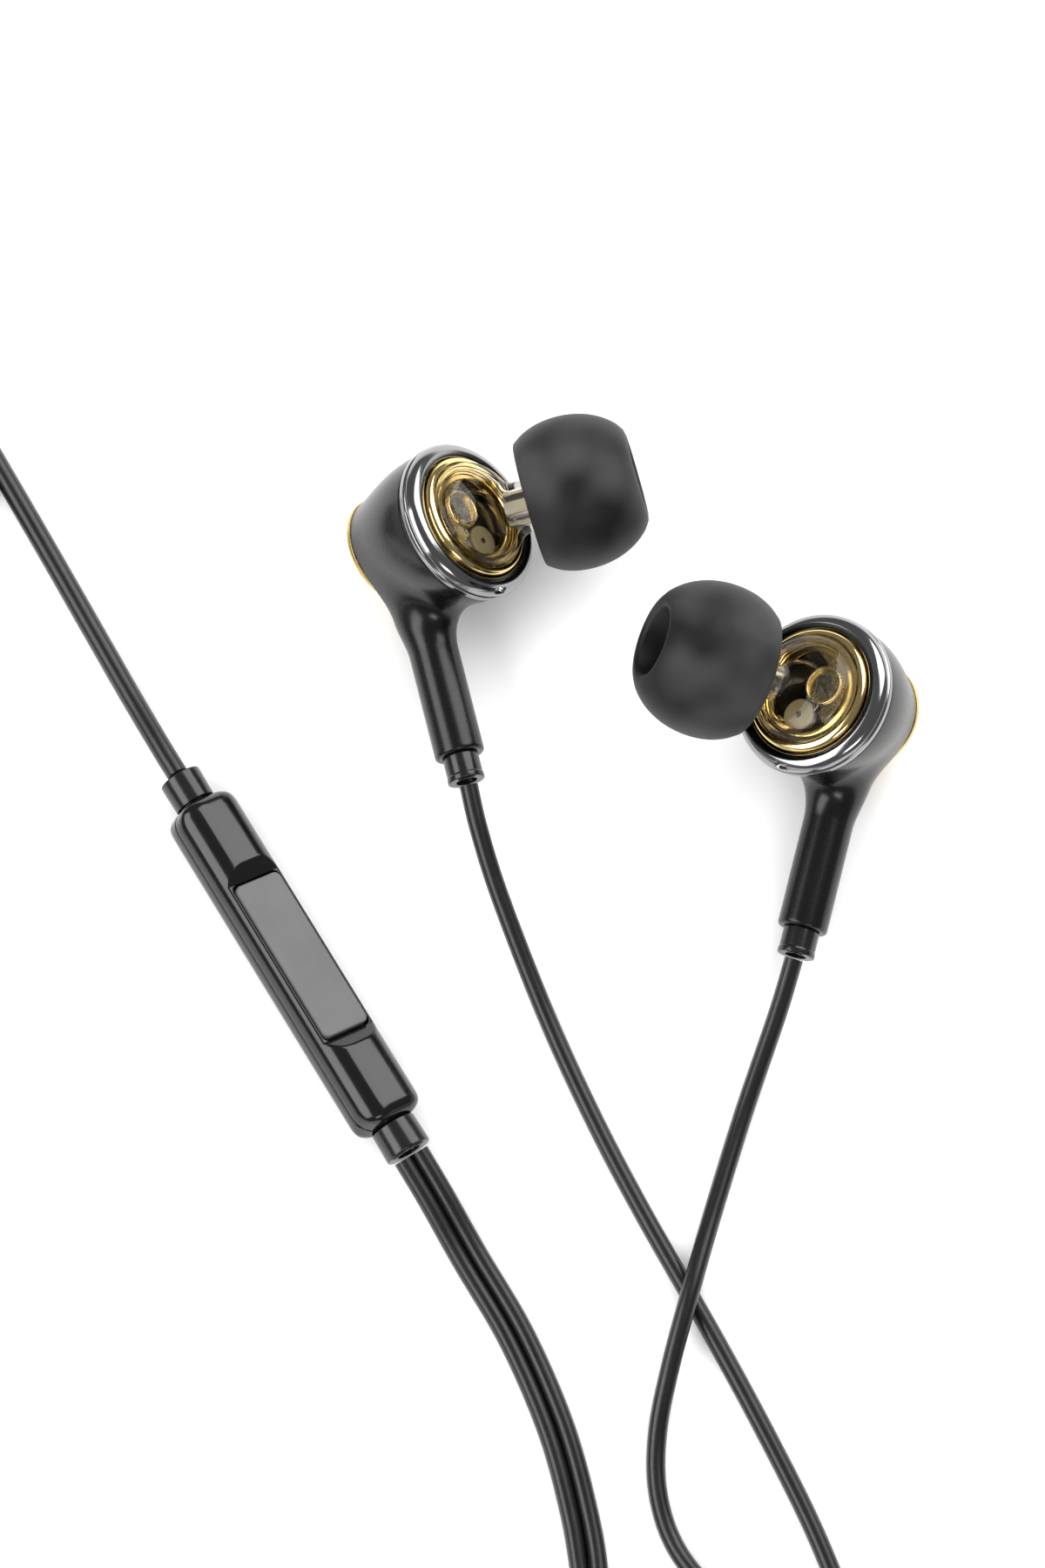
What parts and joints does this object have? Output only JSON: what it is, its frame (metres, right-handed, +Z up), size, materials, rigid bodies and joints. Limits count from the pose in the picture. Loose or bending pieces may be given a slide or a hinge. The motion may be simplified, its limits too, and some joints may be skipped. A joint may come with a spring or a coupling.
{
  "type": "wired earphones",
  "caption": "Wired in-ear earphones with angled housings, soft pull-off tips, an in-line remote with a button and microphone, and a jack plug, laid out on a table.",
  "frame": {"origin": "on the table, below the middle of the box that holds the earbuds and the remote", "axes": "+Z up from the table; +Y from the stored branch cords towards the earbuds; +X from the remote towards the earbuds"},
  "size_m": [0.1085, 0.1321, 0.0192],
  "materials": {
    "satin_black": "satin moulded black plastic",
    "gloss_black": "polished black plastic",
    "button_grey": "satin grey plastic",
    "chrome": "polished dark chrome plating",
    "gold": "polished gold plating",
    "smoky_clear": "clear smoky amber plastic",
    "silicone": "matte dark grey silicone",
    "cord_jacket": "matte dark grey elastomer",
    "steel": "plain",
    "copper": "enamelled copper wire",
    "film": "thin film",
    "board": "green solder mask",
    "white_plastic": "plain"
  },
  "bodies": {
    "earphones": {"left_rear_shell": "satin_black", "left_rear_cap": "gold", "left_bezel": "chrome", "left_trim_ring": "gold", "left_front_cover": "smoky_clear", "left_face_plate": "gold", "left_side_badge": "gold", "left_damping_disc": "white_plastic", "left_driver_frame": "steel", "left_diaphragm": "film", "left_voice_coil": "copper", "left_driver_magnet": "steel", "left_driver_board": "board", "left_stem_collar": "satin_black", "left_sound_tube": "steel", "left_sound_filter": "steel", "right_rear_shell": "satin_black", "right_rear_cap": "gold", "right_bezel": "chrome", "right_trim_ring": "gold", "right_front_cover": "smoky_clear", "right_face_plate": "gold", "right_side_badge": "gold", "right_damping_disc": "white_plastic", "right_driver_frame": "steel", "right_diaphragm": "film", "right_voice_coil": "copper", "right_driver_magnet": "steel", "right_driver_board": "board", "right_stem_collar": "satin_black", "right_sound_tube": "steel", "right_sound_filter": "steel", "remote_top_shell": "gloss_black", "remote_bottom_shell": "gloss_black", "remote_switch_body": "steel", "remote_circuit_board": "board", "remote_microphone": "steel", "remote_mic_mesh": "steel", "remote_upper_collar": "satin_black", "remote_lower_collar": "satin_black", "plug_strain_relief": "satin_black", "plug_barrel": "gloss_black", "plug_sleeve_contact": "gold", "plug_mic_ring": "gold", "plug_right_ring": "gold", "plug_insulator": "gloss_black", "plug_tip_contact": "gold", "main_cord": "cord_jacket", "main_cord_coil": "cord_jacket", "main_cord_tail": "cord_jacket", "left_cord": "cord_jacket", "right_cord": "cord_jacket", "left_cord_start": "cord_jacket", "right_cord_start": "cord_jacket", "branch_cord_coil": "cord_jacket"},
    "left_tip": {"left_ear_tip": "silicone"},
    "right_tip": {"right_ear_tip": "silicone"},
    "button": {"remote_button": "button_grey", "remote_switch_plunger": "white_plastic"}
  },
  "joints": [
    {"name": "left_tip_pull", "type": "slide", "parent": "earphones", "child": "left_tip", "axis": [0.9606, 0.2423, 0.1359], "range_m": [0, 0.012]},
    {"name": "right_tip_pull", "type": "slide", "parent": "earphones", "child": "right_tip", "axis": [-0.9034, 0.2158, 0.3705], "range_m": [0, 0.012]},
    {"name": "button_press", "type": "slide", "parent": "earphones", "child": "button", "axis": [-0.4141, -0.2521, -0.8746], "range_m": [0, 0.00025], "stiffness_N_per_m": 1500, "springref_m": -0.0005}
  ]
}
